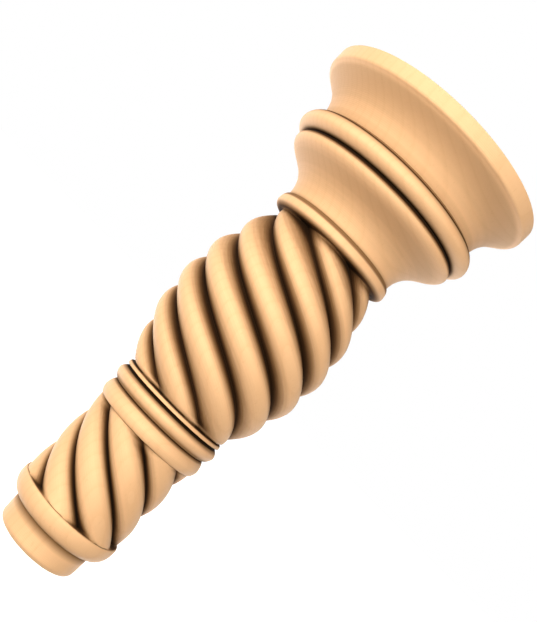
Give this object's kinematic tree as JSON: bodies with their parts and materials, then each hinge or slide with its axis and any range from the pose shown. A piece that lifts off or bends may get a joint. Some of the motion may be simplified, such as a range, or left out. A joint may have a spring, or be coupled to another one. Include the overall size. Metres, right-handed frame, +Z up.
{
  "type": "twisted column",
  "caption": "Short turned wooden column with a rope-twist shaft and bulb, a ringed collar, a narrow round foot and a wide moulded capital with a flat top.",
  "frame": {"origin": "centre of the foot's flat underside", "axes": "+Z up along the column's axis, from the narrow foot to the flat top of the capital; -Y towards the viewer, +X to the viewer's right"},
  "size_m": [0.0942, 0.0942, 0.2],
  "materials": {
    "wood": "satin"
  },
  "bodies": {
    "root": {"twisted_column": "wood"}
  },
  "joints": []
}
